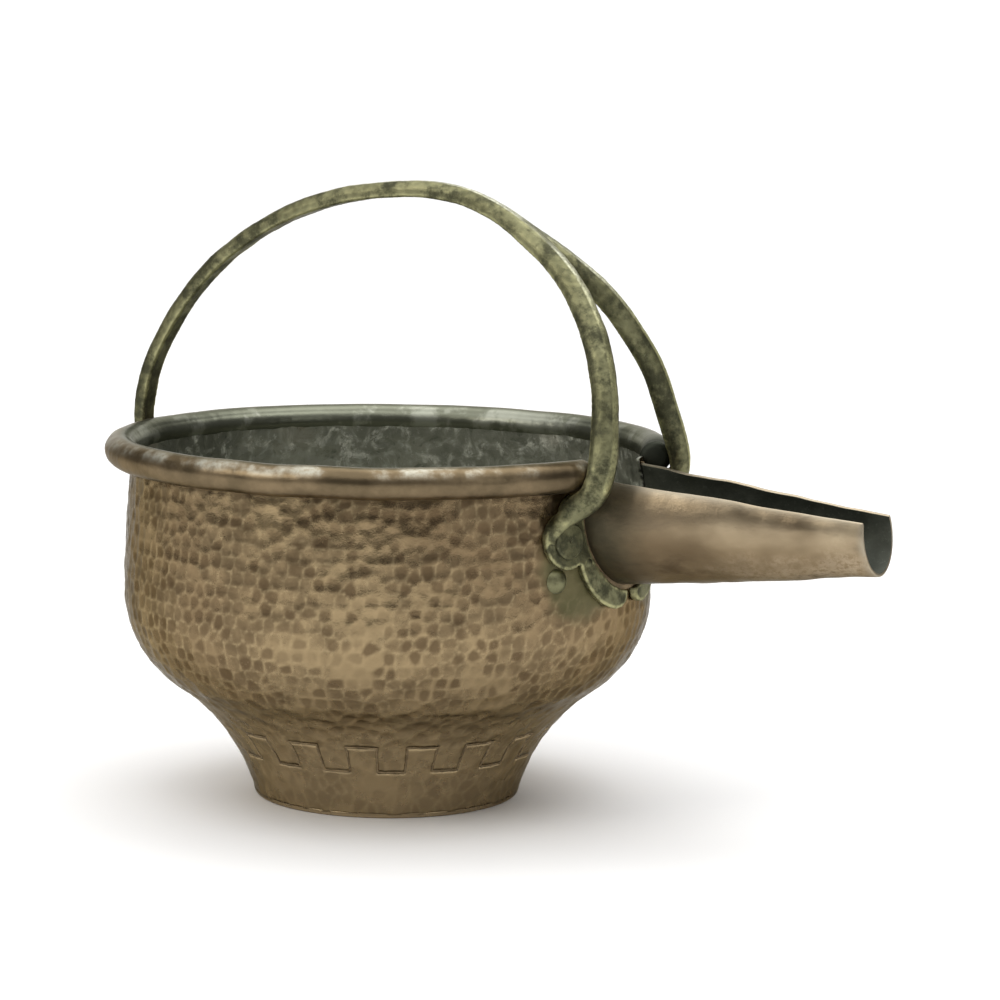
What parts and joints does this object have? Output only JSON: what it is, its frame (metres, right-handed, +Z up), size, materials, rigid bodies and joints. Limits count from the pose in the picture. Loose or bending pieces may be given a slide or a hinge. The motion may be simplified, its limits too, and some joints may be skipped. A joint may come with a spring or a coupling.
{
  "type": "watering can",
  "caption": "Hammered copper watering can: a rolled-rim bowl on a flared foot, an open trough spout and a three-legged cast brass handle.",
  "frame": {"origin": "centre of the foot's resting face", "axes": "+Z up, +X along the spout, y = 0 the mirror plane"},
  "size_m": [0.3293, 0.225, 0.2453],
  "materials": {
    "copper": "hammered, aged copper",
    "braze": "dull yellow braze",
    "iron": "drawn wire",
    "handle_brass": "cast, olive green patina with worn edges"
  },
  "bodies": {
    "root": {"bowl_shell": "copper", "base_pan": "copper", "seam_braze": "braze", "rim_wire": "iron", "spout_trough": "copper", "spout_braze": "braze", "handle": "handle_brass", "foot_rivets": "handle_brass", "dome_rivets": "handle_brass", "lobe_rivets": "handle_brass"}
  },
  "joints": []
}
